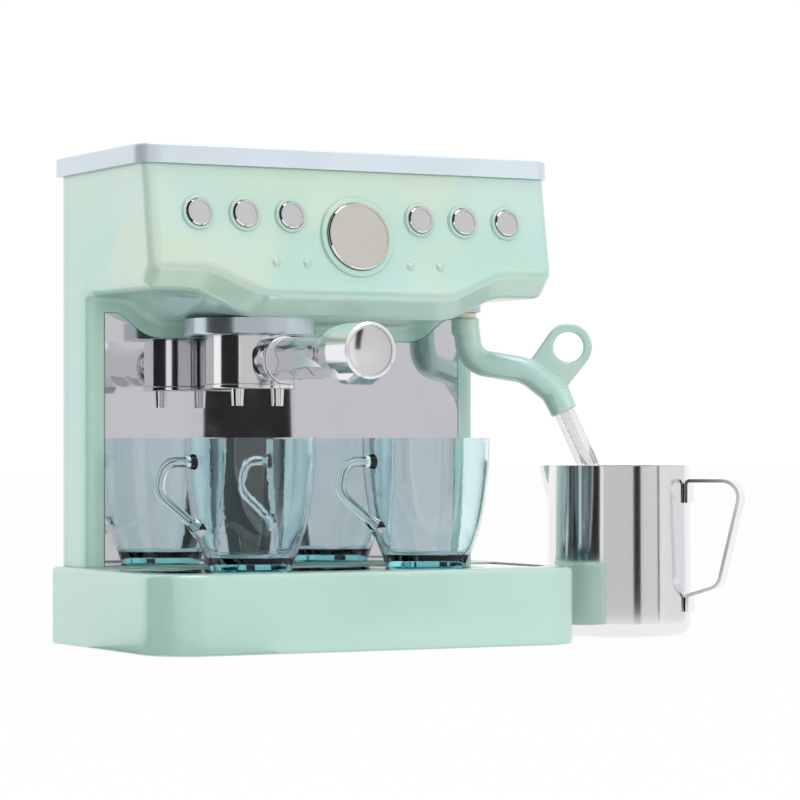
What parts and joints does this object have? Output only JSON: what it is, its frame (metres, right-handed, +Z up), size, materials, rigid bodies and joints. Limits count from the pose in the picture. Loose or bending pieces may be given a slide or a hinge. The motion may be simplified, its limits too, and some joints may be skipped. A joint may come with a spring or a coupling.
{
  "type": "toy coffee maker",
  "caption": "Toy espresso machine with push buttons, a turning portafilter, a swivelling steam wand, clear cups on its drip tray and a milk jug.",
  "frame": {"origin": "middle of the base's footprint, on the surface it stands on", "axes": "+X to the right seen from the front, +Y to the back, +Z up"},
  "size_m": [0.1961, 0.1144, 0.14],
  "materials": {
    "mint_plastic": "pearlescent gloss mint plastic",
    "lid_silver": "satin silver-blue pearl plastic",
    "satin_silver": "satin silver metallised plastic",
    "bright_plating": "bright vacuum-plated plastic",
    "mirror_sheet": "silvered mirror sheet",
    "teal_clear": "clear teal plastic",
    "clear_tube": "clear plastic",
    "cream_plastic": "cream plastic",
    "grey_inside": "plain grey moulding",
    "silicone": "translucent silicone",
    "screw_steel": "zinc-plated steel"
  },
  "bodies": {
    "machine": {"base_shell": "mint_plastic", "base_cover": "mint_plastic", "base_screws": "screw_steel", "column_screws": "screw_steel", "drip_tray": "mirror_sheet", "housing": "mint_plastic", "rear_cover": "mint_plastic", "rear_screws": "screw_steel", "mirror_panel": "mirror_sheet", "lid": "lid_silver", "keypad": "silicone", "button_carrier": "grey_inside", "carrier_screws": "screw_steel", "group_head": "satin_silver", "group_screw": "screw_steel", "wand_boss": "satin_silver"},
    "start_button": {"start_button": "bright_plating"},
    "button_1": {"button_1": "bright_plating"},
    "button_2": {"button_2": "bright_plating"},
    "button_3": {"button_3": "bright_plating"},
    "button_4": {"button_4": "bright_plating"},
    "button_5": {"button_5": "bright_plating"},
    "button_6": {"button_6": "bright_plating"},
    "portafilter": {"portafilter_cup": "bright_plating", "spout_plate": "bright_plating", "portafilter_handle": "bright_plating", "handle_cap": "bright_plating", "handle_screw": "screw_steel"},
    "steam_wand": {"wand_neck": "cream_plastic", "wand_screw": "screw_steel", "wand_arm": "mint_plastic", "wand_tube": "clear_tube"},
    "cup_left": {"cup_left": "teal_clear"},
    "cup_right": {"cup_right": "teal_clear"},
    "milk_jug": {"milk_jug": "bright_plating", "jug_handle": "bright_plating"}
  },
  "joints": [
    {"name": "start_press", "type": "slide", "parent": "machine", "child": "start_button", "axis": [0, 0.9859, -0.1676], "range_m": [0, 0.0012], "stiffness_N_per_m": 500, "springref_m": -0.001},
    {"name": "button_1_press", "type": "slide", "parent": "machine", "child": "button_1", "axis": [0, 0.9859, -0.1676], "range_m": [0, 0.0009], "stiffness_N_per_m": 400, "springref_m": -0.001},
    {"name": "button_2_press", "type": "slide", "parent": "machine", "child": "button_2", "axis": [0, 0.9859, -0.1676], "range_m": [0, 0.0009], "stiffness_N_per_m": 400, "springref_m": -0.001},
    {"name": "button_3_press", "type": "slide", "parent": "machine", "child": "button_3", "axis": [0, 0.9859, -0.1676], "range_m": [0, 0.0009], "stiffness_N_per_m": 400, "springref_m": -0.001},
    {"name": "button_4_press", "type": "slide", "parent": "machine", "child": "button_4", "axis": [0, 0.9859, -0.1676], "range_m": [0, 0.0009], "stiffness_N_per_m": 400, "springref_m": -0.001},
    {"name": "button_5_press", "type": "slide", "parent": "machine", "child": "button_5", "axis": [0, 0.9859, -0.1676], "range_m": [0, 0.0009], "stiffness_N_per_m": 400, "springref_m": -0.001},
    {"name": "button_6_press", "type": "slide", "parent": "machine", "child": "button_6", "axis": [0, 0.9859, -0.1676], "range_m": [0, 0.0009], "stiffness_N_per_m": 400, "springref_m": -0.001},
    {"name": "portafilter_turn", "type": "hinge", "parent": "machine", "child": "portafilter", "pos_m": [-0.0222, 0, 0.0895], "axis": [0, 0, 1], "range_deg": [-45, 0]},
    {"name": "wand_swivel", "type": "hinge", "parent": "machine", "child": "steam_wand", "pos_m": [0.0527, 0.0076, 0.0966], "axis": [0, 0, 1], "range_deg": [-60, 55]},
    {"name": "cup_left_out", "type": "slide", "parent": "machine", "child": "cup_left", "axis": [0, -0.9806, 0.1961], "range_m": [0, 0.05]},
    {"name": "cup_right_out", "type": "slide", "parent": "machine", "child": "cup_right", "axis": [0, -0.9806, 0.1961], "range_m": [0, 0.05]},
    {"name": "jug_away", "type": "slide", "parent": "machine", "child": "milk_jug", "axis": [1, 0, 0], "range_m": [0, 0.06]}
  ]
}
